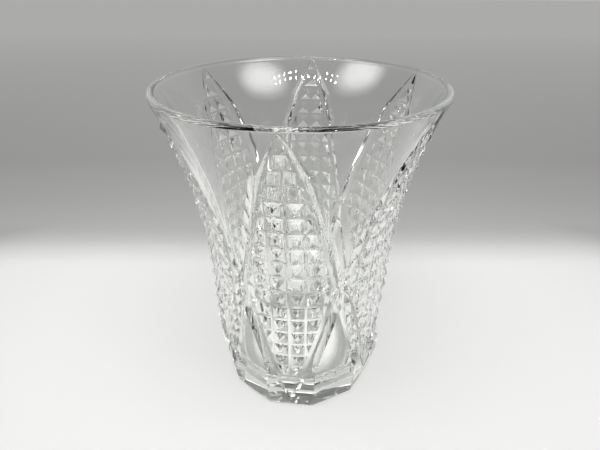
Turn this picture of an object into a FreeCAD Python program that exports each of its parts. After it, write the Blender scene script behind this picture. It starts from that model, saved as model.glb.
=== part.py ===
import FreeCAD, Part
import math
import os

# A flared vase of clear cut glass. The real vase is a single piece of glass, so each node
# here is one named region of it: the foot, the rim lip, and for each sixth of the wall a
# studded panel, a clear arch and a flat window. The regions meet face to face.
# Millimetres and degrees. +Z is up, and the origin is the centre of the foot's underside.
# The middle of the first panel faces -Y.

# Driving dimensions
height = 210.0
body_radius = 59.4            # outside of the plain wall, below the flare
flare_start = 105.0           # height where the wall begins to flare
lip_radius = 80.2             # outside of the lip at its widest
lip_thickness = 4.0
wall_thickness = 6.5          # at the bottom of the wall
floor_round = 9.0             # rounding between the floor and the inner wall
panel_count = 6

foot_height = 22.0            # top of the foot, and the floor of the inside
foot_flat_bottom = 56.8       # axis to each of the twelve flats, at the underside
foot_flat_top = 59.6          # the same at the top of the foot
foot_edge = 0.8               # small chamfer round the underside
panel_foot_top = 35.0         # the flats under the panels run up to here

stud_pitch = 10.1             # across a panel
row_pitch = 10.3              # up a panel, on average
row_bow = 3.3                 # how far the middle rows are cut above an even spacing
row_skew = 2.5                # above 1 puts most of that shift in the upper rows
row_count = 15
crown_height = 8.8            # the single stud above the last row
column_count = 3              # on each side of a panel's middle
stud_height = 2.5
stud_gap = 0.14               # share of the pitch that stays flat between studs

field_bottom_half = 6.0       # half width of the studded field at its bottom
shoulder_height = 108.0       # where the field is widest
shoulder_half = 26.0
tip_height = 209.5            # where the field's upper sides would meet
upper_bow = 1.0               # how far the upper sides bow outwards

strip_width = 2.2             # plain strip round the studs
strip_rise = 0.3
upper_groove_offset = 2.7     # strip to the bottom of the upper cut
upper_outer_offset = 5.2      # strip to the outer side of the upper cut
lower_groove_offset = 7.0     # field edge to the bottom of the lower cut
lower_outer_offset = 10.9     # field edge to the outer side of the lower cut
lower_groove_run = 12.0       # over this height at its end, the lower cut turns to the foot's corner
upper_groove_depth = 1.9
lower_groove_depth = 4.2
ridge_half = 1.1              # half width left between two cuts where they pass
ridge_drop = 0.8
blend_height = 12.0           # above the shoulder, the two cuts run together within this
end_start = 185.0             # from here the strip and the upper cuts run out towards the lip
window_flat_bottom = 56.3     # axis to a window's flat face, at the foot
window_flat_top = 58.4        # the same at the window's point
window_top = 88.0

split_height = 98.0           # where a window ends and its arch begins
lip_height = 207.5            # where the wall ends and the lip begins

# How finely curved walls are divided
floor_round_shares = (0.0, 0.25, 0.6)
panel_inner_steps = 8
clear_inner_steps = 6
clear_outer_steps = 4

# Sizes worked out from those
sector = 360.0 / panel_count
half_sector = sector / 2
foot_corner = half_sector / 2
field_bottom = panel_foot_top
field_top = field_bottom + row_count * row_pitch
crown_top = field_top + crown_height
lip_middle = height - lip_thickness / 2
flare = (lip_radius - body_radius) / ((lip_middle - flare_start) / (height - flare_start)) ** 2
corner_offset = math.radians(foot_corner) * body_radius - field_bottom_half
lower_slope = (shoulder_half - field_bottom_half) / (shoulder_height - field_bottom)


def outer_radius(z):
    """Plain outer wall: a straight body, then a flare that follows a parabola."""
    rise = max(0.0, (z - flare_start) / (height - flare_start))
    return body_radius + flare * rise ** 2


def inner_radius(z):
    """Inner wall, with the rounding above the floor."""
    share = (z - foot_height) / (lip_height - foot_height)
    radius = outer_radius(z) - wall_thickness - (lip_thickness - wall_thickness) * share
    short = foot_height + floor_round - z
    if short > 0:
        radius -= floor_round - math.sqrt(floor_round ** 2 - short ** 2)
    return radius


def foot_flat(z):
    """Axis to a flat of the foot, which also runs up under each panel."""
    return foot_flat_bottom + (foot_flat_top - foot_flat_bottom) * min(1.0, z / foot_height)


def field_half(z):
    """Half width of the studded field, measured round the wall."""
    if z <= shoulder_height:
        return max(0.0, field_bottom_half + lower_slope * (z - field_bottom))
    share = (z - shoulder_height) / (tip_height - shoulder_height)
    return shoulder_half * (1 - share) + upper_bow * 4 * share * (1 - share)


def fade(z):
    """1 where the strip and the cuts round a panel are full, 0 where they have run out."""
    return min(1.0, max(0.0, (lip_height - z) / (lip_height - end_start)))


def edge_lines(z):
    """Distances round the wall from a panel's middle to the field edge, the strip's outer
    side, the bottom of the cut and the cut's outer side."""
    limit = math.radians(half_sector) * outer_radius(z)
    field = field_half(z)
    strip = field + strip_width * fade(z)
    if z <= shoulder_height:
        turned = max(0.0, 1 - (z - field_bottom) / lower_groove_run)
        offset = lower_groove_offset + (corner_offset - lower_groove_offset) * turned
        bottom = min(field + offset, limit - ridge_half)
        outer = min(field + lower_outer_offset, limit)
    else:
        bottom = min(strip + upper_groove_offset * fade(z), limit - ridge_half)
        outer = min(strip + upper_outer_offset * fade(z), limit)
    return field, strip, bottom, outer


def edge_angles(z):
    return [math.degrees(x / outer_radius(z)) for x in edge_lines(z)]


def groove_radius(z):
    """Radius at the bottom of the cuts: deep below the shoulder, shallower above it."""
    blend = min(1.0, max(0.0, (z - window_top) / (shoulder_height + blend_height - window_top)))
    depth = lower_groove_depth + (upper_groove_depth - lower_groove_depth) * blend
    return outer_radius(z) - depth * fade(z)


def window_flat(z):
    share = (z - foot_height) / (window_top - foot_height)
    return window_flat_bottom + (window_flat_top - window_flat_bottom) * share


def crossing_heights():
    """Heights where the lines between the columns of studs meet the field's sides."""
    heights = []
    for column in range(1, column_count):
        x = column * stud_pitch
        heights.append(field_bottom + (x - field_bottom_half) / lower_slope)
        low, high = shoulder_height, field_top
        for _ in range(50):
            middle = (low + high) / 2
            low, high = (middle, high) if field_half(middle) > x else (low, middle)
        heights.append(low)
    return heights


def row_height(i):
    """Height of the line below row i of the studs."""
    return field_bottom + row_pitch * i + row_bow * math.sin(math.pi * (i / row_count) ** row_skew)


rows = [row_height(i) for i in range(row_count + 1)]
turning_heights = [field_bottom + lower_groove_run, window_top, split_height, shoulder_height,
                   shoulder_height + blend_height, end_start, crown_top, (crown_top + lip_height) / 2]
levels = sorted(rows + crossing_heights() + turning_heights)
floor_levels = [foot_height + floor_round * share for share in floor_round_shares]


class Skin:
    """Triangles that share their corners, turned into a closed solid at the end."""

    def __init__(self):
        self.places = {}
        self.points = []
        self.triangles = []

    def corner(self, point):
        key = tuple(round(value, 5) for value in point)
        if key not in self.places:
            self.places[key] = len(self.points)
            self.points.append(FreeCAD.Vector(*key))
        return self.places[key]

    def face(self, *points):
        """A convex face, its corners counter-clockwise seen from outside."""
        names = [self.corner(point) for point in points]
        for i in range(1, len(names) - 1):
            triangle = (names[0], names[i], names[i + 1])
            if len(set(triangle)) == 3:
                self.triangles.append(triangle)

    def strip(self, low, high):
        """Triangles between two lines of corners, which may differ in number."""
        i = j = 0
        while i < len(low) - 1 or j < len(high) - 1:
            ahead_low = (i + 1) / (len(low) - 1)
            ahead_high = (j + 1) / (len(high) - 1)
            if j == len(high) - 1 or (i < len(low) - 1 and ahead_low <= ahead_high + 1e-9):
                self.face(low[i], low[i + 1], high[j])
                i += 1
            else:
                self.face(low[i], high[j + 1], high[j])
                j += 1

    def close_ends(self, outer, inside):
        """The two side faces between an outer and an inner wall with matching rows."""
        for end in (0, -1):
            for i in range(len(outer) - 1):
                a, b = inside[i][end], outer[i][end]
                c, d = outer[i + 1][end], inside[i + 1][end]
                for corners in ((a, c, b), (a, d, c)):
                    self.face(*(corners if end == 0 else corners[::-1]))

    def solid(self):
        shape = Part.Shape()
        shape.makeShapeFromMesh((self.points, self.triangles), 1e-4)
        solid = Part.Solid(shape.Shells[0] if shape.Shells else shape)
        if solid.Volume < 0:
            solid.reverse()
        return solid


def at(azimuth, radius, z):
    turn = math.radians(azimuth)
    return (radius * math.sin(turn), -radius * math.cos(turn), z)


def clip(polygon, axis, value, keep_above):
    """The part of a flat polygon on one side of a line across it."""
    side = 1 if keep_above else -1
    kept = []
    for i, here in enumerate(polygon):
        there = polygon[(i + 1) % len(polygon)]
        here_in = side * (here[axis] - value) >= -1e-9
        there_in = side * (there[axis] - value) >= -1e-9
        if here_in:
            kept.append(here)
        if here_in != there_in and abs(there[axis] - here[axis]) > 1e-12:
            share = (value - here[axis]) / (there[axis] - here[axis])
            kept.append(tuple(a + (b - a) * share for a, b in zip(here, there)))
    return [p for i, p in enumerate(kept) if math.dist(p, kept[i - 1]) > 1e-6]


def field_cells():
    """One flat polygon (distance round the wall, height) for each stud on the right half."""
    sides = [(field_half(z), z) for z in levels if field_bottom <= z <= field_top + 1e-6]
    half = [(0.0, field_bottom)] + sides + [(0.0, field_top)]
    cells = []
    for low, high in zip(rows, rows[1:]):
        for column in range(column_count):
            cell = clip(half, 1, low, True)
            cell = clip(cell, 1, high, False)
            cell = clip(cell, 0, column * stud_pitch, True)
            cell = clip(cell, 0, (column + 1) * stud_pitch, False)
            if len(cell) > 2:
                cells.append(cell)
    return cells


def crown_cell():
    """The cell of the single stud, which spans the middle of the panel."""
    right = [(field_half(z), z) for z in levels if field_top - 1e-6 <= z <= crown_top + 1e-6]
    left = [(-x, z) for x, z in reversed(right)]
    return [(0.0, field_top)] + right + [(0.0, crown_top)] + left


def polygon_facts(polygon):
    """Area, centre and outline length of a flat polygon."""
    area = x_sum = z_sum = outline = 0.0
    for i, (x, z) in enumerate(polygon):
        x_next, z_next = polygon[(i + 1) % len(polygon)]
        cross = x * z_next - x_next * z
        area += cross / 2
        x_sum += (x + x_next) * cross / 6
        z_sum += (z + z_next) * cross / 6
        outline += math.hypot(x_next - x, z_next - z)
    return area, (x_sum / area, z_sum / area), outline


def add_stud(skin, azimuth, cell, side):
    """A flat margin round the cell and a pointed stud inside it."""
    area, (x_mid, z_mid), outline = polygon_facts(cell)
    rise = stud_height * 2 * area / outline / (stud_pitch / 2)

    def place(x, z, lift=0.0):
        radius = outer_radius(z)
        tilt = math.atan2(outer_radius(z + 0.5) - outer_radius(z - 0.5), 1.0)
        angle = azimuth + side * math.degrees(x / radius)
        return at(angle, radius + lift * math.cos(tilt), z - lift * math.sin(tilt))

    shrink = 1 - stud_gap
    inset = [(x_mid + (x - x_mid) * shrink, z_mid + (z - z_mid) * shrink) for x, z in cell]
    peak = place(x_mid, z_mid, rise)
    for i in range(len(cell)):
        j = (i + 1) % len(cell)
        a, b = place(*cell[i]), place(*cell[j])
        c, d = place(*inset[j]), place(*inset[i])
        if side > 0:
            skin.face(a, b, c, d)
            skin.face(d, c, peak)
        else:
            skin.face(a, d, c, b)
            skin.face(d, peak, c)


def panel_angles(z):
    field, strip, bottom, _ = edge_angles(z)
    return [-bottom, -strip, -field, 0.0, field, strip, bottom]


def panel_row(azimuth, z):
    """Outer corners across a panel at one height, from its left cut to its right cut."""
    radius = outer_radius(z)
    edge = radius + strip_rise * fade(z)
    low = groove_radius(z)
    radii = [low, edge, radius, radius, radius, edge, low]
    return [at(azimuth + t, r, z) for t, r in zip(panel_angles(z), radii)]


def under_panel_row(azimuth, z):
    """The same on the flat of the foot that runs up under the panel."""
    angles = panel_angles(field_bottom)
    return [at(azimuth + t, foot_flat(z) / math.cos(math.radians(t)), z) for t in angles]


def inner_row(start, end, z, steps):
    turn = (end - start) / steps
    return [at(start + turn * i, inner_radius(z), z) for i in range(steps + 1)]


def cut_angle(z):
    return edge_angles(max(z, field_bottom))[2]


def hobnail_panel(azimuth):
    skin = Skin()
    under = [under_panel_row(azimuth, z) for z in (foot_height, field_bottom)]
    skin.strip(under[0], under[1])
    wall = [z for z in levels if z >= field_bottom] + [lip_height]
    outer = [panel_row(azimuth, z) for z in wall]
    skin.strip(under[1], outer[0])
    for z, low, high in zip(wall, outer, outer[1:]):
        if z < crown_top - 1e-6:
            skin.strip(low[:3], high[:3])
            skin.strip(low[4:], high[4:])
        else:
            skin.strip(low, high)
    for cell in field_cells():
        add_stud(skin, azimuth, cell, 1)
        add_stud(skin, azimuth, cell, -1)
    add_stud(skin, azimuth, crown_cell(), 1)

    inside = []
    for z in floor_levels + wall:
        reach = cut_angle(z)
        inside.append(inner_row(azimuth - reach, azimuth + reach, z, panel_inner_steps))
    for low, high in zip(inside, inside[1:]):
        skin.strip(high, low)
    skin.strip(inside[0], under[0])
    skin.strip(outer[-1], inside[-1])

    first = len(floor_levels)
    skin.close_ends(outer, inside[first:])
    for end in (0, -1):
        side = [row[end] for row in inside[:first + 1]] + [outer[0][end], under[1][end], under[0][end]]
        skin.face(*(side if end == 0 else side[::-1]))
    return skin.solid()


def clear_columns(z):
    """Angles from a cut's bottom to the middle between two panels, with their radii."""
    _, _, bottom, outer = edge_angles(max(z, field_bottom))
    shares = [i / clear_outer_steps for i in range(clear_outer_steps + 1)]
    angles = [bottom] + [outer + (half_sector - outer) * share for share in shares]
    radii = [groove_radius(z)]
    for angle in angles[1:]:
        flat = window_flat(z) / math.cos(math.radians(half_sector - angle))
        ridge = outer_radius(z) - ridge_drop
        if z <= window_top:
            radii.append(flat)
        elif z <= shoulder_height:
            radii.append(ridge)
        else:
            share = min(1.0, (z - shoulder_height) / blend_height)
            radii.append(ridge + ridge_drop * share)
    if z < field_bottom:
        radii[0] = window_flat(z) / math.cos(math.radians(half_sector - bottom))
    return angles, radii


def clear_row(azimuth, z):
    """Outer corners between two panels at one height; azimuth is the middle between them."""
    angles, radii = clear_columns(z)
    left = [at(azimuth - half_sector + t, r, z) for t, r in zip(angles, radii)]
    right = [at(azimuth + half_sector - t, r, z) for t, r in zip(angles, radii)]
    return left + right[-2::-1]


def clear_wall(azimuth, heights):
    """A smooth stretch of wall between two panels, over the given heights."""
    skin = Skin()
    outer = [clear_row(azimuth, z) for z in heights]
    reach = [half_sector - cut_angle(z) for z in heights]
    inside = [inner_row(azimuth - w, azimuth + w, z, clear_inner_steps) for z, w in zip(heights, reach)]
    for low, high in zip(outer, outer[1:]):
        skin.strip(low, high)
    for low, high in zip(inside, inside[1:]):
        skin.strip(high, low)
    skin.strip(inside[0], outer[0])
    skin.strip(outer[-1], inside[-1])
    skin.close_ends(outer, inside)
    return skin.solid()


def foot():
    """The solid twelve-sided base."""
    skin = Skin()
    rings = []
    for z, flat in ((0.0, foot_flat_bottom - foot_edge), (foot_edge, foot_flat(foot_edge)),
                    (foot_height, foot_flat_top)):
        corner = flat / math.cos(math.radians(foot_corner))
        turns = [foot_corner + 2 * foot_corner * i for i in range(2 * panel_count)]
        rings.append([at(turn, corner, z) for turn in turns])
    skin.face(*rings[0][::-1])
    skin.face(*rings[-1])
    for low, high in zip(rings, rings[1:]):
        for i in range(len(low)):
            j = (i + 1) % len(low)
            skin.face(low[i], low[j], high[j], high[i])
    return skin.solid()


def rim_lip():
    """The round lip that closes the top of the wall."""
    outside = FreeCAD.Vector(outer_radius(lip_height), 0, lip_height)
    inside = FreeCAD.Vector(inner_radius(lip_height), 0, lip_height)
    widest = FreeCAD.Vector(lip_radius, 0, lip_middle)
    top = FreeCAD.Vector(lip_radius - lip_thickness / 2, 0, height)
    narrowest = FreeCAD.Vector(lip_radius - lip_thickness, 0, lip_middle)
    edges = [Part.LineSegment(outside, widest), Part.Arc(widest, top, narrowest),
             Part.LineSegment(narrowest, inside), Part.LineSegment(inside, outside)]
    section = Part.Face(Part.Wire([edge.toShape() for edge in edges]))
    return section.revolve(FreeCAD.Vector(0, 0, 0), FreeCAD.Vector(0, 0, 1), 360)


def build():
    nodes = {"foot": foot(), "rim_lip": rim_lip()}
    window_heights = floor_levels + [z for z in levels if z <= split_height]
    arch_heights = [z for z in levels if z >= split_height] + [lip_height]
    for i in range(panel_count):
        azimuth = sector * i
        nodes[f"hobnail_panel_{i + 1}"] = hobnail_panel(azimuth)
        nodes[f"flat_window_{i + 1}"] = clear_wall(azimuth + half_sector, window_heights)
        nodes[f"clear_arch_{i + 1}"] = clear_wall(azimuth + half_sector, arch_heights)
    return nodes


os.makedirs("parts", exist_ok=True)
for name, shape in build().items():
    shape.exportStep(f"parts/{name}.step")
    print(name, "valid", shape.isValid(), "closed", shape.isClosed(), "volume", round(shape.Volume, 1))
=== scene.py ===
import math

import bmesh
import bpy
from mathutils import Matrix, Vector


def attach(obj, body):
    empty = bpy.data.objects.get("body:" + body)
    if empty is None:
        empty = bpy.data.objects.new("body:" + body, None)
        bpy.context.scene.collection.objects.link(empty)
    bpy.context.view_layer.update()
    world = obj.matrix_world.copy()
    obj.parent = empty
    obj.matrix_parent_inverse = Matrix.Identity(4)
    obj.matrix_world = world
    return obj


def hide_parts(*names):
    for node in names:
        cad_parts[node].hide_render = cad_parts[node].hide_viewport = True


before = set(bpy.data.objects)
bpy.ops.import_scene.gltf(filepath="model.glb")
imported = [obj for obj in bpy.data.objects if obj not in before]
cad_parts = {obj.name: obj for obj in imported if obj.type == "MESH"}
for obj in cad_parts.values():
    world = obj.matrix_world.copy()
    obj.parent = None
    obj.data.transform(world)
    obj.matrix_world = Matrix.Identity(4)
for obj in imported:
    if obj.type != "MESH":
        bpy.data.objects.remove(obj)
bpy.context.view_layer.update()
print("frame loaded")

mm = 0.001
cm3 = 1e-6

# The vase's sizes are in millimetres and its angles in degrees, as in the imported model's own source.
wall = {
    "height": 210.0,
    "bodyRadius": 59.4,         # plain wall below the flare
    "flareStart": 105.0,
    "lipRadius": 80.2,
    "lipThickness": 4.0,
    "thickness": 6.5,           # at the bottom
    "floorRound": 9.0,
    "lipHeight": 207.5,         # the rounded lip starts here
    "sectors": 6,
}
foot = {
    "height": 22.0,
    "flatBottom": 56.8,         # axis to each of the twelve flats
    "flatTop": 59.6,
    "edge": 0.8,
    "underPanel": 35.0,         # the flats run up to here under the panels
    "veeHalf": 9.0,             # crossing cuts below each panel: half width where they start
    "veeTip": 9.5,              # and the height where they meet
    "veeFlank": 1.5,
    "veeDepth": 1.0,
}
panel = {
    "studPitch": 10.1,
    "rowPitch": 10.3,
    "rows": 15,
    "crownHeight": 8.8,         # the single stud above the last row
    "rowBow": 3.3,              # how far the middle rows are cut above an even spacing
    "rowSkew": 2.5,             # above 1 puts most of that shift in the upper rows
    "columns": 3,               # on each side of the middle
    "bottomHalf": 6.0,          # half the width of the studded field at its bottom
    "shoulderHeight": 108.0,    # it is widest here
    "shoulderHalf": 26.0,
    "tipHeight": 209.5,         # its sides would meet here
    "upperBow": 1.0,            # how far its upper sides bulge
    "stripWidth": 2.2,          # the plain strip along its sides
    "stripRise": 0.3,
    "tipRidge": 1.1,            # how far the smooth point above the studs stands out
    "tipRun": 4.0,              # and the height that it takes to rise
}
cuts = {
    "upperBottom": 2.7,         # strip to the bottom of the upper cut
    "upperOuter": 5.2,
    "upperDepth": 1.9,
    "lowerBottom": 7.0,         # field edge to the bottom of the lower cut
    "lowerOuter": 10.9,
    "lowerRun": 12.0,           # over this height at its end, the lower cut turns to the foot's corner
    "lowerDepth": 4.2,
    "ridgeHalf": 1.1,           # half the ridge left between two neighbouring panels' cuts
    "ridgeDrop": 0.8,           # how far it is cut down, up to the shoulder
    "blendHeight": 12.0,        # above the shoulder, the two cuts run together within this
    "endStart": 185.0,          # from here the strip and the upper cuts run out towards the lip
    "windowFlatBottom": 56.3,   # axis to the flat window between two panels
    "windowFlatTop": 58.4,
    "windowTop": 88.0,
}
detail = {
    "levelStep": 2.6,           # height between rows of corners in the smooth parts
    "archSteps": 8,
    "innerSteps": 10,           # to each half sector
    "lipSteps": 32,
    "roundSteps": 14,
    "halvings": 50,             # in the search for where two lines cross
    "decimals": 4,              # corners that agree to this many are one corner
}
near = {
    "corner": 1e-5,             # a face's corners closer than this are one corner
    "cell": 1e-6,               # the same, for a stud's flat cell
    "level": 1e-6,              # and for two heights
    "along": 1e-7,              # and for two places along a line
    "side": 1e-9,               # this far past a clipping line still counts as on it
    "parallel": 1e-12,          # a side that rises less than this doesn't cross the line
}

sector = 360.0 / wall["sectors"]
halfSector = sector / 2
footCorner = halfSector / 2
fieldBottom = foot["underPanel"]
fieldTop = fieldBottom + panel["rows"] * panel["rowPitch"]
crownTop = fieldTop + panel["crownHeight"]
lipMiddle = wall["height"] - wall["lipThickness"] / 2
flareReach = wall["height"] - wall["flareStart"]
flare = (wall["lipRadius"] - wall["bodyRadius"]) / ((lipMiddle - wall["flareStart"]) / flareReach) ** 2
cornerReach = math.radians(footCorner) * wall["bodyRadius"] - panel["bottomHalf"]
lowerSlope = (panel["shoulderHalf"] - panel["bottomHalf"]) / (panel["shoulderHeight"] - fieldBottom)


def mix(a, b, share):
    return a + (b - a) * min(1.0, max(0.0, share))


def outerRadius(z):
    rise = max(0.0, (z - wall["flareStart"]) / flareReach)
    return wall["bodyRadius"] + flare * rise ** 2


def innerRadius(z):
    share = (z - foot["height"]) / (wall["lipHeight"] - foot["height"])
    radius = outerRadius(z) - wall["thickness"] - (wall["lipThickness"] - wall["thickness"]) * share
    short = foot["height"] + wall["floorRound"] - z
    if short > 0:
        radius -= wall["floorRound"] - math.sqrt(max(0.0, wall["floorRound"] ** 2 - short ** 2))
    return radius


def footFlat(z):
    return mix(foot["flatBottom"], foot["flatTop"], z / foot["height"])


def windowFlat(z):
    share = (z - foot["height"]) / (cuts["windowTop"] - foot["height"])
    return cuts["windowFlatBottom"] + (cuts["windowFlatTop"] - cuts["windowFlatBottom"]) * share


def fieldHalf(z):
    if z <= panel["shoulderHeight"]:
        return max(0.0, panel["bottomHalf"] + lowerSlope * (z - fieldBottom))
    share = (z - panel["shoulderHeight"]) / (panel["tipHeight"] - panel["shoulderHeight"])
    bow = panel["upperBow"] * 4 * share * (1 - share)
    return max(0.0, panel["shoulderHalf"] * (1 - share) + bow)


def fade(z):
    # 1 where the strip and the cuts are full, 0 where they have run out
    return min(1.0, max(0.0, (wall["lipHeight"] - z) / (wall["lipHeight"] - cuts["endStart"])))


def edgeLines(z):
    # distances round the wall: field edge, strip's outer side, bottom of the cut, its outer side
    limit = math.radians(halfSector) * outerRadius(z)
    field = fieldHalf(z)
    strip = field + panel["stripWidth"] * fade(z)
    if z <= panel["shoulderHeight"]:
        reach = mix(cornerReach, cuts["lowerBottom"], (z - fieldBottom) / cuts["lowerRun"])
        bottom = min(field + reach, limit - cuts["ridgeHalf"])
        outer = min(field + cuts["lowerOuter"], limit)
    else:
        bottom = min(strip + cuts["upperBottom"] * fade(z), limit - cuts["ridgeHalf"])
        outer = min(strip + cuts["upperOuter"] * fade(z), limit)
    return field, strip, bottom, outer


def edgeAngles(z):
    return [math.degrees(x / outerRadius(z)) for x in edgeLines(z)]


def grooveRadius(z):
    blended = panel["shoulderHeight"] + cuts["blendHeight"]
    share = (z - cuts["windowTop"]) / (blended - cuts["windowTop"])
    return outerRadius(z) - mix(cuts["lowerDepth"], cuts["upperDepth"], share) * fade(z)


def rowHeight(i):
    even = fieldBottom + panel["rowPitch"] * i
    return even + panel["rowBow"] * math.sin(math.pi * (i / panel["rows"]) ** panel["rowSkew"])


def crossingHeights():
    # where the lines between the columns of studs meet the sides of the field
    heights = []
    for column in range(1, panel["columns"]):
        x = column * panel["studPitch"]
        heights.append(fieldBottom + (x - panel["bottomHalf"]) / lowerSlope)
        low, high = panel["shoulderHeight"], fieldTop
        for _ in range(detail["halvings"]):
            middle = (low + high) / 2
            low, high = (middle, high) if fieldHalf(middle) > x else (low, middle)
        heights.append(low)
    return heights


def fillLevels(levels, step):
    # adds even steps between the given heights
    full = []
    for low, high in zip(levels, levels[1:]):
        count = max(1, math.ceil((high - low) / step - near["level"]))
        full += [low + (high - low) * i / count for i in range(count)]
    return full + [levels[-1]]


rows = [rowHeight(i) for i in range(panel["rows"] + 1)]
bends = [fieldBottom + cuts["lowerRun"], panel["shoulderHeight"]]
fieldLevels = sorted(rows + crossingHeights() + bends)
keyLevels = fieldLevels + [cuts["windowTop"], cuts["endStart"], crownTop, wall["lipHeight"]]
wallLevels = fillLevels(sorted(keyLevels), detail["levelStep"])
windowLevels = fillLevels([foot["height"], fieldBottom], detail["levelStep"])


def at(angle, radius, z):
    turn = math.radians(angle)
    return (radius * math.sin(turn), -radius * math.cos(turn), z)


def turnOf(point):
    return math.atan2(point[0], -point[1])


def heightOf(point):
    return point[2]


class HalfSector:
    # corners and faces of one half sector; faces run counter-clockwise seen from outside
    def __init__(self):
        self.faces = []

    def face(self, points, rise=0.0, whole=False):
        # a whole face already spans both halves
        kept = [p for i, p in enumerate(points) if math.dist(p, points[i - 1]) > near["corner"]]
        if len(kept) > 2:
            self.faces.append((kept, rise, whole))

    def band(self, low, high, key):
        # fills between two lines of corners, both in the order of key
        i = j = 0
        while i < len(low) - 1 or j < len(high) - 1:
            nextLow = key(low[i + 1]) if i < len(low) - 1 else math.inf
            nextHigh = key(high[j + 1]) if j < len(high) - 1 else math.inf
            if abs(nextLow - nextHigh) < near["along"]:
                self.face([low[i], low[i + 1], high[j + 1], high[j]])
                i, j = i + 1, j + 1
            elif nextLow < nextHigh:
                self.face([low[i], low[i + 1], high[j]])
                i += 1
            else:
                self.face([low[i], high[j + 1], high[j]])
                j += 1

    def quads(self, low, high):
        for i in range(len(low) - 1):
            self.face([low[i], low[i + 1], high[i + 1], high[i]])


def clip(polygon, axis, value, keepAbove):
    # the part of a polygon above or below a value on one axis
    side = 1 if keepAbove else -1
    kept = []
    for i, here in enumerate(polygon):
        there = polygon[(i + 1) % len(polygon)]
        hereIn = side * (here[axis] - value) >= -near["side"]
        thereIn = side * (there[axis] - value) >= -near["side"]
        if hereIn:
            kept.append(here)
        if hereIn != thereIn and abs(there[axis] - here[axis]) > near["parallel"]:
            share = (value - here[axis]) / (there[axis] - here[axis])
            kept.append(tuple(a + (b - a) * share for a, b in zip(here, there)))
    return [p for i, p in enumerate(kept) if math.dist(p, kept[i - 1]) > near["cell"]]


def fieldCells():
    # one flat polygon (distance round the wall, height) for each stud right of the middle
    sides = [(fieldHalf(z), z) for z in fieldLevels]
    half = [(0.0, fieldBottom)] + sides + [(0.0, fieldTop)]
    cells = []
    for low, high in zip(rows, rows[1:]):
        for column in range(panel["columns"]):
            cell = clip(clip(half, 1, low, True), 1, high, False)
            cell = clip(cell, 0, column * panel["studPitch"], True)
            cell = clip(cell, 0, (column + 1) * panel["studPitch"], False)
            if len(cell) > 2:
                cells.append(cell)
    return cells


def studShare(cell):
    # how high a stud stands, next to a full square one
    area = outline = 0.0
    for i, (x, z) in enumerate(cell):
        xNext, zNext = cell[(i + 1) % len(cell)]
        area += (x * zNext - xNext * z) / 2
        outline += math.hypot(xNext - x, zNext - z)
    return 2 * area / outline / (panel["studPitch"] / 2)


def onWall(x, z):
    return at(math.degrees(x / outerRadius(z)), outerRadius(z), z)


def addPanel(half):
    for cell in fieldCells():
        half.face([onWall(x, z) for x, z in cell], studShare(cell))
    right = [(fieldHalf(z), z) for z in (fieldTop, crownTop)]
    crown = [(0.0, fieldTop)] + right + [(0.0, crownTop)] + [(-x, z) for x, z in reversed(right)]
    half.face([onWall(x, z) for x, z in crown], studShare(crown), whole=True)
    fieldEdge = [onWall(fieldHalf(z), z) for z in fieldLevels + [crownTop]]
    stripEdge, bottomEdge = [], []
    for z in wallLevels:
        field, strip, bottom, _ = edgeAngles(z)
        stripEdge.append(at(strip, outerRadius(z) + panel["stripRise"] * fade(z), z))
        bottomEdge.append(at(bottom, grooveRadius(z), z))
        if z > crownTop + near["level"]:
            fieldEdge.append(at(field, outerRadius(z), z))
    half.band(stripEdge, fieldEdge, heightOf)
    half.quads(bottomEdge, stripEdge)
    # the smooth point above the studs
    tipLevels = [z for z in wallLevels if z >= crownTop - near["level"]]
    tipReach = wall["lipHeight"] - crownTop
    ridge = []
    for z in tipLevels:
        up = min(1.0, (z - crownTop) / panel["tipRun"]) * (wall["lipHeight"] - z) / tipReach
        ridge.append(at(0.0, outerRadius(z) + panel["tipRidge"] * up, z))
    tipEdge = [at(edgeAngles(z)[0], outerRadius(z), z) for z in tipLevels]
    half.quads(tipEdge, ridge)


def clearRow(z):
    # from the bottom of a cut to the middle between two panels
    _, _, bottom, outer = edgeAngles(max(z, fieldBottom))
    steps = detail["archSteps"]
    angles = [outer + (halfSector - outer) * i / steps for i in range(steps + 1)]
    ridge = outerRadius(z) - cuts["ridgeDrop"]
    if z < fieldBottom:
        start = windowFlat(foot["height"]) / math.cos(math.radians(halfSector - bottom))
        share = (z - foot["height"]) / (fieldBottom - foot["height"])
        row = [at(bottom, mix(start, grooveRadius(fieldBottom), share), z)]
    else:
        row = [at(bottom, grooveRadius(z), z)]
    for angle in angles:
        if z <= cuts["windowTop"] + near["level"]:
            radius = windowFlat(z) / math.cos(math.radians(halfSector - angle))
        else:
            radius = mix(ridge, outerRadius(z), (z - panel["shoulderHeight"]) / cuts["blendHeight"])
        row.append(at(angle, radius, z))
    return row


def addClear(half):
    previous = None
    for z in windowLevels[:-1] + wallLevels:
        row = clearRow(z)
        if previous:
            half.quads(previous, row)
        previous = row


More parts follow.
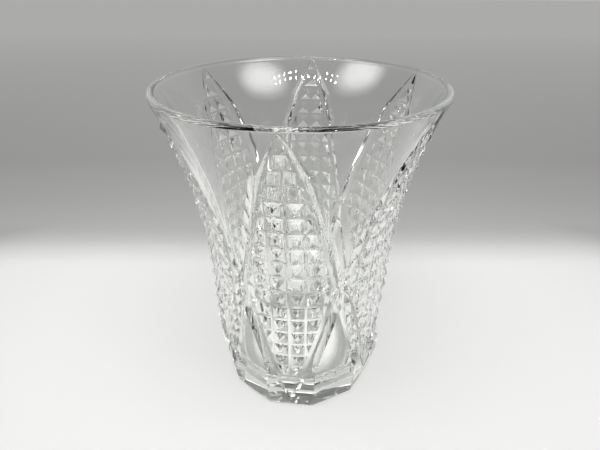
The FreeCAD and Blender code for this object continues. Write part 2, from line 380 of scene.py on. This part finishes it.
def addFoot(half):
    corner = math.tan(math.radians(footCorner))

    def ring(flat, z):
        reach = flat / math.cos(math.radians(footCorner))
        return [(0.0, -flat, z), at(footCorner, reach, z), at(halfSector, flat, z)]

    under = ring(foot["flatBottom"] - foot["edge"], 0.0)
    low = ring(footFlat(foot["edge"]), foot["edge"])
    high = ring(foot["flatTop"], foot["height"])
    half.face([(0.0, 0.0, 0.0)] + under[::-1])
    half.quads(under, low)
    half.quads(low[1:], high[1:])

    # the flat below the panel, with the two cuts that cross on it
    top, tip, side = foot["underPanel"], foot["veeTip"], foot["veeHalf"]
    slope = (top - tip) / side
    shift = foot["veeFlank"] * math.hypot(1.0, slope) / slope
    deep = foot["veeDepth"]
    lowWide = footFlat(foot["edge"]) * corner
    topWide = foot["flatTop"] * corner
    outerTip, innerTip = tip - shift * slope, tip + shift * slope
    outside = [(0.0, foot["edge"], 0), (lowWide, foot["edge"], 0), (topWide, foot["height"], 0),
               (topWide, top, 0), (side + shift, top, 0), (0.0, outerTip, 0)]
    flanks = [[(0.0, outerTip, 0), (side + shift, top, 0), (side, top, deep), (0.0, tip, deep)],
              [(0.0, tip, deep), (side, top, deep), (side - shift, top, 0), (0.0, innerTip, 0)]]
    inside = [(0.0, innerTip, 0), (side - shift, top, 0), (0.0, top, 0)]
    for shape in [outside] + flanks + [inside]:
        for keepAbove in (False, True):
            part = clip(shape, 1, foot["height"], keepAbove)
            half.face([(x, depth - footFlat(z), z) for x, z, depth in part])

    # the step round the panel's bottom, the ledge below the window and the wall between them
    edge = [(0.0, 0), (side - shift, 0), (side, deep), (side + shift, 0), (topWide, 0)]
    ledge = [(x, depth - foot["flatTop"], top) for x, depth in edge]
    field, strip, bottom, _ = edgeAngles(top)
    radius = outerRadius(top)
    above = [at(0.0, radius, top), at(field, radius, top), at(strip, radius + panel["stripRise"], top),
             at(bottom, grooveRadius(top), top)]
    half.band(ledge, above, turnOf)
    half.band(high[1:], clearRow(foot["height"]), turnOf)
    inner = [clearRow(z)[0] for z in windowLevels]
    half.band(inner, [high[1], (topWide, -foot["flatTop"], top)], heightOf)


def addInside(half):
    # the rounded lip, the inner wall and the floor inside, joined to the top of the outside
    turns = [halfSector * i / detail["innerSteps"] for i in range(detail["innerSteps"] + 1)]
    z = wall["lipHeight"]
    field = edgeAngles(z)[0]
    outside = [at(0.0, outerRadius(z), z), at(field, outerRadius(z), z)] + clearRow(z)
    step = 0.5
    tilt = math.atan2(outerRadius(z + step) - outerRadius(z - step), 2 * step)
    profile = []
    halfThick = wall["lipThickness"] / 2
    for i in range(detail["lipSteps"] + 1):
        turn = (math.pi - tilt) * i / detail["lipSteps"]
        profile.append((wall["lipRadius"] - halfThick + halfThick * math.cos(turn),
                        lipMiddle + halfThick * math.sin(turn)))
    levels = fillLevels([foot["height"] + wall["floorRound"], wall["lipHeight"]], detail["levelStep"])
    profile += [(innerRadius(z), z) for z in reversed(levels)]
    for i in range(1, detail["roundSteps"] + 1):
        turn = math.pi / 2 * i / detail["roundSteps"]
        z = foot["height"] + wall["floorRound"] * (1 - math.sin(turn))
        profile.append((innerRadius(z), z))
    rings = [[at(turn, radius, z) for turn in turns] for radius, z in profile]
    half.band(outside, rings[0], turnOf)
    for low, high in zip(rings, rings[1:]):
        half.quads(low, high)
    for a, b in zip(rings[-1], rings[-1][1:]):
        half.face([a, b, (0.0, 0.0, foot["height"])])


def sectorMesh(name):
    half = HalfSector()
    addPanel(half)
    addClear(half)
    addFoot(half)
    addInside(half)
    places, faces, rises = {}, [], []
    for face, rise, whole in half.faces:
        for mirrored in (False,) if whole else (False, True):
            points = [(-x, y, z) for x, y, z in reversed(face)] if mirrored else face
            keys = [tuple(round(v, detail["decimals"]) + 0.0 for v in p) for p in points]
            faces.append([places.setdefault(key, len(places)) for key in keys])
            rises.append(rise)
    mesh = bpy.data.meshes.new(name)
    mesh.from_pydata([(x * mm, y * mm, z * mm) for x, y, z in places], [], faces)
    layer = mesh.attributes.new("studShare", "FLOAT", "FACE")
    layer.data.foreach_set("value", rises)
    return mesh


# Glass: clear and colourless, with a faint grey green where it is thick.
glass = {
    "ior": 1.53,
    "tint": (0.99, 0.995, 0.985, 1.0),
    "depthColor": (0.88, 0.91, 0.86, 1.0),
    "depthDensity": 4.0,
    "polishScale": 55.0,        # size of the polished surface's slow waves
    "polishDetail": 1.0,
    "polishStrength": 0.04,
    "polishDepth": 1.0 * mm,
    "hazeScale": 240.0,         # fine wipe marks
    "hazeDetail": 3.0,
    "hazeNoise": (0.45, 0.8),   # where the noise is between these, the roughness is between the next two
    "hazeRoughness": (0.0, 0.035),
}


def glassMaterial():
    material = bpy.data.materials.new("clearCutGlass")
    material.use_nodes = True
    nodes, links = material.node_tree.nodes, material.node_tree.links
    nodes.clear()
    output = nodes.new("ShaderNodeOutputMaterial")
    shader = nodes.new("ShaderNodeBsdfPrincipled")
    shader.inputs["Base Color"].default_value = glass["tint"]
    shader.inputs["IOR"].default_value = glass["ior"]
    shader.inputs["Transmission Weight"].default_value = 1.0
    links.new(shader.outputs["BSDF"], output.inputs["Surface"])
    place = nodes.new("ShaderNodeTexCoord")

    def noise(scale, fineness):
        made = nodes.new("ShaderNodeTexNoise")
        made.inputs["Scale"].default_value = scale
        made.inputs["Detail"].default_value = fineness
        links.new(place.outputs["Object"], made.inputs["Vector"])
        return made.outputs["Fac"]

    bump = nodes.new("ShaderNodeBump")
    bump.inputs["Strength"].default_value = glass["polishStrength"]
    bump.inputs["Distance"].default_value = glass["polishDepth"]
    links.new(noise(glass["polishScale"], glass["polishDetail"]), bump.inputs["Height"])
    links.new(bump.outputs["Normal"], shader.inputs["Normal"])
    haze = nodes.new("ShaderNodeMapRange")
    ends = ("From Min", "From Max", "To Min", "To Max")
    for name, value in zip(ends, glass["hazeNoise"] + glass["hazeRoughness"]):
        haze.inputs[name].default_value = value
    links.new(noise(glass["hazeScale"], glass["hazeDetail"]), haze.inputs["Value"])
    links.new(haze.outputs["Result"], shader.inputs["Roughness"])
    depth = nodes.new("ShaderNodeVolumeAbsorption")
    depth.inputs["Color"].default_value = glass["depthColor"]
    depth.inputs["Density"].default_value = glass["depthDensity"]
    links.new(depth.outputs["Volume"], output.inputs["Volume"])
    return material


# Studs: the tree repeats the sector round the axis, welds it, and raises a point on every cell.
studs = {
    "Sectors": wall["sectors"],
    "Weld": 0.004 * mm,
    "Gap": 0.14,                # share of each cell left flat round its stud
    "Rise": 2.5 * mm,
    "Tip": 0.05,                # share of the stud left blunt at its point
    "Lean": 0.05,               # how unevenly the points were cut
    "Seed": 11,
}


def studTree():
    tree = bpy.data.node_groups.new("repeatAndStud", "GeometryNodeTree")
    socket = tree.interface.new_socket
    socket(name="Geometry", in_out="INPUT", socket_type="NodeSocketGeometry")
    for name, value in studs.items():
        kind = "NodeSocketInt" if isinstance(value, int) else "NodeSocketFloat"
        socket(name=name, in_out="INPUT", socket_type=kind)
    socket(name="Glass", in_out="INPUT", socket_type="NodeSocketMaterial")
    socket(name="Geometry", in_out="OUTPUT", socket_type="NodeSocketGeometry")
    nodes, links = tree.nodes, tree.links
    given = nodes.new("NodeGroupInput").outputs

    def node(kind, linksIn=(), **settings):
        made = nodes.new(kind)
        for key, value in settings.items():
            setattr(made, key, value)
        for name, source in linksIn:
            if isinstance(source, bpy.types.NodeSocket):
                links.new(source, made.inputs[name])
            else:
                made.inputs[name].default_value = source
        return made

    def maths(operation, a, b):
        return node("ShaderNodeMath", [(0, a), (1, b)], operation=operation).outputs[0]

    # one point for each sector, turned evenly about the axis
    line = node("GeometryNodeMeshLine", [("Count", given["Sectors"]), ("Offset", (0.0, 0.0, 0.0))])
    index = node("GeometryNodeInputIndex")
    turn = maths("MULTIPLY", maths("DIVIDE", index.outputs[0], given["Sectors"]), math.tau)
    turned = node("ShaderNodeCombineXYZ", [("Z", turn)])
    placed = node("GeometryNodeInstanceOnPoints", [
        ("Points", line.outputs["Mesh"]),
        ("Instance", given["Geometry"]),
        ("Rotation", turned.outputs[0])])
    real = node("GeometryNodeRealizeInstances", [("Geometry", placed.outputs["Instances"])])
    welded = node("GeometryNodeMergeByDistance", [
        ("Geometry", real.outputs["Geometry"]),
        ("Distance", given["Weld"])])

    # a flat margin round each cell, then the stud, leaning a little at random
    named = node("GeometryNodeInputNamedAttribute", [("Name", "studShare")], data_type="FLOAT")
    leastShare = 0.001
    isCell = node("FunctionNodeCompare", [("A", named.outputs["Attribute"]), ("B", leastShare)],
                  data_type="FLOAT", operation="GREATER_THAN")
    margin = node("GeometryNodeExtrudeMesh", [
        ("Mesh", welded.outputs["Geometry"]),
        ("Selection", isCell.outputs["Result"]),
        ("Offset Scale", 0.0)])
    shrunk = node("GeometryNodeScaleElements", [
        ("Geometry", margin.outputs["Mesh"]),
        ("Selection", margin.outputs["Top"]),
        ("Scale", maths("SUBTRACT", 1.0, given["Gap"]))])
    uneven = node("FunctionNodeRandomValue", [("Seed", given["Seed"])], data_type="FLOAT_VECTOR")
    links.new(maths("SUBTRACT", 0.0, given["Lean"]), uneven.inputs["Min"])
    links.new(given["Lean"], uneven.inputs["Max"])
    normal = node("GeometryNodeInputNormal")
    lean = node("ShaderNodeVectorMath", [
        (0, normal.outputs["Normal"]),
        (1, uneven.outputs["Value"])], operation="ADD")
    raised = node("GeometryNodeExtrudeMesh", [
        ("Mesh", shrunk.outputs["Geometry"]),
        ("Selection", margin.outputs["Top"]),
        ("Offset", lean.outputs[0]),
        ("Offset Scale", maths("MULTIPLY", named.outputs["Attribute"], given["Rise"]))])
    pointed = node("GeometryNodeScaleElements", [
        ("Geometry", raised.outputs["Mesh"]),
        ("Selection", raised.outputs["Top"]),
        ("Scale", given["Tip"])])
    whole = node("GeometryNodeRealizeInstances", [("Geometry", pointed.outputs["Geometry"])])
    painted = node("GeometryNodeSetMaterial", [
        ("Geometry", whole.outputs["Geometry"]),
        ("Material", given["Glass"])])
    out = node("NodeGroupOutput")
    links.new(painted.outputs["Geometry"], out.inputs["Geometry"])
    return tree


def addObject(name, data):
    made = bpy.data.objects.new(name, data)
    bpy.context.scene.collection.objects.link(made)
    return made


shading = {
    "sharpAngle": 6.5,          # faces that meet at more than this keep a sharp edge
}


def makeVase():
    material = glassMaterial()
    source = addObject("sector", sectorMesh("sector"))
    modifier = source.modifiers.new("studs", "NODES")
    tree = studTree()
    modifier.node_group = tree
    given = dict(studs, Glass=material)
    for item in tree.interface.items_tree:
        if item.in_out == "INPUT" and item.name in given:
            modifier[item.identifier] = given[item.name]
    source.update_tag()
    bpy.context.view_layer.update()
    depsgraph = bpy.context.evaluated_depsgraph_get()
    studded = source.evaluated_get(depsgraph)
    mesh = bpy.data.meshes.new_from_object(studded, preserve_all_data_layers=True, depsgraph=depsgraph)
    bpy.data.objects.remove(source)
    mesh.name = "cutGlassVase"
    mesh.materials.clear()
    mesh.materials.append(material)
    mesh.polygons.foreach_set("material_index", [0] * len(mesh.polygons))
    work = bmesh.new()
    work.from_mesh(mesh)
    bmesh.ops.remove_doubles(work, verts=work.verts, dist=studs["Weld"])
    bmesh.ops.recalc_face_normals(work, faces=work.faces)
    loose = [e for e in work.edges if len(e.link_faces) != 2]
    print("vase mesh:", len(work.faces), "faces,", len(loose), "open edges, volume",
          round(work.calc_volume() / cm3, 1), "cm3")
    work.to_mesh(mesh)
    work.free()
    mesh.shade_smooth()
    mesh.set_sharp_from_angle(angle=math.radians(shading["sharpAngle"]))
    return addObject("cutGlassVase", mesh)


vase = makeVase()
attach(vase, "root")
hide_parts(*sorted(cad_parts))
print("vase made")


# Camera, looking slightly down at the axis.
view = {
    "lens": 23.1,
    "sensor": 36.0,
    "distance": 219.3 * mm,
    "height": 257.1 * mm,
    "azimuth": 6.36,
    "pitch": 32.76,
    "nearest": 10.0 * mm,
}


def makeCamera():
    data = bpy.data.cameras.new("camera")
    data.lens = view["lens"]
    data.sensor_width = view["sensor"]
    data.clip_start = view["nearest"]
    camera = addObject("camera", data)
    turn = math.radians(view["azimuth"])
    across, back = view["distance"] * math.sin(turn), -view["distance"] * math.cos(turn)
    camera.location = (across, back, view["height"])
    camera.rotation_euler = (math.radians(90 - view["pitch"]), 0.0, turn)
    bpy.context.scene.camera = camera


makeCamera()


def smoothRange(tree, source, low, high):
    # 0 before low and 1 past high, with a smooth change between them
    spread = tree.nodes.new("ShaderNodeMapRange")
    spread.interpolation_type = "SMOOTHSTEP"
    spread.inputs["From Min"].default_value = low
    spread.inputs["From Max"].default_value = high
    tree.links.new(source, spread.inputs["Value"])
    return spread.outputs["Result"]


# Floor: one large sheet, pale round the vase and grey beyond it, with its light and shade painted into
# its colour and glow.
floor = {
    "size": 12.0,
    "drop": 0.3 * mm,           # the vase doesn't touch it, so no two faces share a plane
    "roughness": 0.8,
    "specular": 0.1,
    "blueShare": 0.99,
    # distance behind the vase in metres, and how light the sheet is there: painted shade that greys the
    # sheet behind the vase like a backdrop falling into shade
    "back": [(0.0, 0.84), (0.105, 0.84), (0.13, 0.69), (0.15, 0.54), (0.17, 0.46), (0.195, 0.43),
             (0.245, 0.40), (0.38, 0.37), (0.60, 0.42), (1.0, 0.48), (2.0, 0.57)],
    "centre": 0.08,             # the painted pool of light is round, with its middle this far behind the vase
    "edge": (0.56, 0.30),       # painted shade darkens it between these distances from its middle
    "behind": (0.05, 0.20),     # but not behind the vase
    # colour of the painted shade at the sheet's sides
    "dark": 0.06,
    # strength of the painted light: the sheet glows though it is no lamp
    "glow": 0.56,
    # distance from the axis in metres, and the share of the glow there: a painted shadow ring under the
    # foot's edge and painted light under its middle
    "under": [(0.0, 1.45), (0.024, 1.4), (0.036, 0.1), (0.047, 0.1), (0.058, 1.0)],
}


def makeFloor():
    material = bpy.data.materials.new("sheetPaintedLightAndShade")
    material.use_nodes = True
    tree = material.node_tree
    nodes, links = tree.nodes, tree.links
    shader = nodes["Principled BSDF"]
    shader.inputs["Roughness"].default_value = floor["roughness"]
    shader.inputs["Specular IOR Level"].default_value = floor["specular"]
    place = nodes.new("ShaderNodeTexCoord")
    turned = nodes.new("ShaderNodeMapping")
    turned.inputs["Rotation"].default_value = (0.0, 0.0, -math.radians(view["azimuth"]))
    split = nodes.new("ShaderNodeSeparateXYZ")
    links.new(place.outputs["Object"], turned.inputs["Vector"])
    links.new(turned.outputs["Vector"], split.inputs["Vector"])

    def ramp(source, stops):
        furthest = stops[-1][0]
        scaled = nodes.new("ShaderNodeMath")
        scaled.operation = "DIVIDE"
        scaled.inputs[1].default_value = furthest
        made = nodes.new("ShaderNodeValToRGB")
        elements = made.color_ramp.elements
        while len(elements) < len(stops):
            elements.new(1.0)
        for element, (where, value) in zip(elements, stops):
            element.position = where / furthest
            element.color = (value, value, value * floor["blueShare"], 1.0)
        links.new(source, scaled.inputs[0])
        links.new(scaled.outputs["Value"], made.inputs["Fac"])
        return made.outputs["Color"]

    # a painted pool of light round the vase, with painted shade at the sheet's sides
    paintedPool = nodes.new("ShaderNodeVectorMath")
    paintedPool.operation = "DISTANCE"
    paintedPool.inputs[1].default_value = (0.0, floor["centre"], 0.0)
    links.new(turned.outputs["Vector"], paintedPool.inputs[0])
    both = nodes.new("ShaderNodeMath")
    both.operation = "MAXIMUM"
    links.new(smoothRange(tree, paintedPool.outputs["Value"], *floor["edge"]), both.inputs[0])
    links.new(smoothRange(tree, split.outputs["Y"], *floor["behind"]), both.inputs[1])
    blend = nodes.new("ShaderNodeMix")
    blend.data_type = "RGBA"
    blend.inputs["A"].default_value = (floor["dark"], floor["dark"], floor["dark"], 1.0)
    links.new(both.outputs["Value"], blend.inputs["Factor"])
    # painted shade: the sheet greys with distance behind the vase
    links.new(ramp(split.outputs["Y"], floor["back"]), blend.inputs["B"])
    links.new(blend.outputs["Result"], shader.inputs["Base Color"])
    # painted light: the sheet glows a little, though it is no lamp, filling in the shade round and under
    # the vase
    fromAxis = nodes.new("ShaderNodeVectorMath")
    fromAxis.operation = "LENGTH"
    links.new(place.outputs["Object"], fromAxis.inputs[0])
    glow = nodes.new("ShaderNodeMath")
    glow.operation = "MULTIPLY"
    glow.inputs[1].default_value = floor["glow"]
    links.new(ramp(fromAxis.outputs["Value"], floor["under"]), glow.inputs[0])
    links.new(blend.outputs["Result"], shader.inputs["Emission Color"])
    links.new(glow.outputs["Value"], shader.inputs["Emission Strength"])
    half = floor["size"] / 2
    corners = [(-half, -half), (half, -half), (half, half), (-half, half)]
    mesh = bpy.data.meshes.new("floor")
    mesh.from_pydata([(x, y, -floor["drop"]) for x, y in corners], [], [(0, 1, 2, 3)])
    mesh.materials.append(material)
    addObject("floor", mesh)


makeFloor()


# Light: a grey tent behind, dark at the sides and behind the camera, with a few lamps. Metres here.
lights = {
    "tentTop": 0.09,
    "tentBack": 0.50,
    "tentSide": 0.035,
    "tentColor": (1.0, 1.0, 0.995, 1.0),
    "tentTurn": (0.15, 0.65),           # from side to back, as the sine of the angle
    "tentClimb": (0.45, 0.75),          # from there to the top, as the sine of the height angle
    "lamps": {
        "topLamp": {
            "place": (0.0, -0.12, 0.70),
            "size": (0.60, 0.22),
            "watts": 2.2,
            "aim": (0.0, 0.0, 0.0),
        },
    },
    "ledCount": 12,
    "ledRow": (0.42, -0.30, 0.405),     # length of the row, and its place in front of and above the vase
    "ledSize": 0.005,
    "ledSides": 8,
    "ledTilt": 28.0,
    "ledStrength": 120.0,
    "softPanels": [                     # place and strength of soft panels that only show in the glass
        ((0.36, -0.32, 0.47), 6.0),
        ((-0.42, -0.24, 0.47), 6.0),
    ],
    "panelSize": (0.56, 0.20),
    "panelAim": (0.0, 0.07, 0.19),
    "panelRings": [                     # share of the size, and of the strength there
        (0.0, 1.0),
        (0.45, 0.85),
        (0.75, 0.35),
        (1.0, 0.0),
    ],
    "panelSides": 24,
}


def addLamp(name, settings):
    data = bpy.data.lights.new(name, "AREA")
    data.shape = "RECTANGLE"
    data.size, data.size_y = settings["size"]
    data.energy = settings["watts"]
    lamp = addObject(name, data)
    lamp.location = settings["place"]
    toward = Vector(settings["aim"]) - Vector(settings["place"])
    lamp.rotation_euler = toward.to_track_quat("-Z", "Y").to_euler()


def lightMaterial(name):
    material = bpy.data.materials.new(name)
    material.use_nodes = True
    nodes = material.node_tree.nodes
    nodes.clear()
    glow = nodes.new("ShaderNodeEmission")
    output = nodes.new("ShaderNodeOutputMaterial")
    material.node_tree.links.new(glow.outputs["Emission"], output.inputs["Surface"])
    return material, glow


def addGlowingShape(name, corners, faces, material):
    # it shows in the glass, but not by itself, and it doesn't light the floor
    mesh = bpy.data.meshes.new(name)
    mesh.from_pydata(corners, [], faces)
    mesh.materials.append(material)
    shape = addObject(name, mesh)
    shape.visible_diffuse = False
    shape.visible_camera = False
    return mesh


def addLeds():
    material, glow = lightMaterial("ledLight")
    glow.inputs["Strength"].default_value = lights["ledStrength"]
    length, y, z = lights["ledRow"]
    tilt = math.radians(lights["ledTilt"])
    size, sides = lights["ledSize"], lights["ledSides"]
    corners, faces = [], []
    for i in range(lights["ledCount"]):
        x = length * (i / (lights["ledCount"] - 1) - 0.5)
        first = len(corners)
        for k in range(sides):
            turn = math.tau * k / sides
            rise = size * math.sin(turn)
            across = size * math.cos(turn)
            corners.append((x + across, y + rise * math.sin(tilt), z + rise * math.cos(tilt)))
        faces.append(list(range(first, first + sides)))
    addGlowingShape("ledRow", corners, faces, material)


def addSoftPanels():
    # each is bright in its middle and fades to its edges
    material, glow = lightMaterial("softPanelLight")
    strength = material.node_tree.nodes.new("ShaderNodeAttribute")
    strength.attribute_name = "softGlow"
    material.node_tree.links.new(strength.outputs["Fac"], glow.inputs["Strength"])
    width, height = lights["panelSize"]
    rings, sides = lights["panelRings"], lights["panelSides"]
    corners, faces, values = [], [], []
    for place, level in lights["softPanels"]:
        facing = (Vector(lights["panelAim"]) - Vector(place)).to_track_quat("-Z", "Y")
        first = len(corners)
        for share, value in rings:
            for k in range(sides):
                turn = math.tau * k / sides
                across = width / 2 * share * math.cos(turn)
                up = height / 2 * share * math.sin(turn)
                corners.append(Vector(place) + facing @ Vector((across, up, 0.0)))
                values.append(level * value)
        for ring in range(len(rings) - 1):
            for k in range(sides):
                a, b = first + ring * sides + k, first + ring * sides + (k + 1) % sides
                faces.append([a, b, b + sides, a + sides])
    mesh = addGlowingShape("softPanels", corners, faces, material)
    mesh.attributes.new("softGlow", "FLOAT", "POINT").data.foreach_set("value", values)


def makeTent():
    world = bpy.data.worlds.new("tent")
    bpy.context.scene.world = world
    world.use_nodes = True
    tree = world.node_tree
    nodes, links = tree.nodes, tree.links
    place = nodes.new("ShaderNodeTexCoord")
    split = nodes.new("ShaderNodeSeparateXYZ")
    links.new(place.outputs["Generated"], split.inputs["Vector"])

    def blend(factor, a, b):
        made = nodes.new("ShaderNodeMix")
        made.data_type = "FLOAT"
        links.new(factor, made.inputs["Factor"])
        for socket, value in (("A", a), ("B", b)):
            if isinstance(value, float):
                made.inputs[socket].default_value = value
            else:
                links.new(value, made.inputs[socket])
        return made.outputs["Result"]

    toBack = smoothRange(tree, split.outputs["Y"], *lights["tentTurn"])
    toTop = smoothRange(tree, split.outputs["Z"], *lights["tentClimb"])
    around = blend(toBack, lights["tentSide"], lights["tentBack"])
    total = blend(toTop, around, lights["tentTop"])
    links.new(total, nodes["Background"].inputs["Strength"])
    nodes["Background"].inputs["Color"].default_value = lights["tentColor"]


for name, settings in lights["lamps"].items():
    addLamp(name, settings)
addLeds()
addSoftPanels()
makeTent()
print("stage lit")

# Clear glass needs many bounces, and the lights in it stay bright.
quality = {"bounces": 24, "glossyBounces": 12, "clamp": 120.0}
scene = bpy.context.scene
scene.view_settings.view_transform = "Standard"
scene.cycles.max_bounces = quality["bounces"]
scene.cycles.transmission_bounces = quality["bounces"]
scene.cycles.glossy_bounces = quality["glossyBounces"]
scene.cycles.sample_clamp_indirect = quality["clamp"]
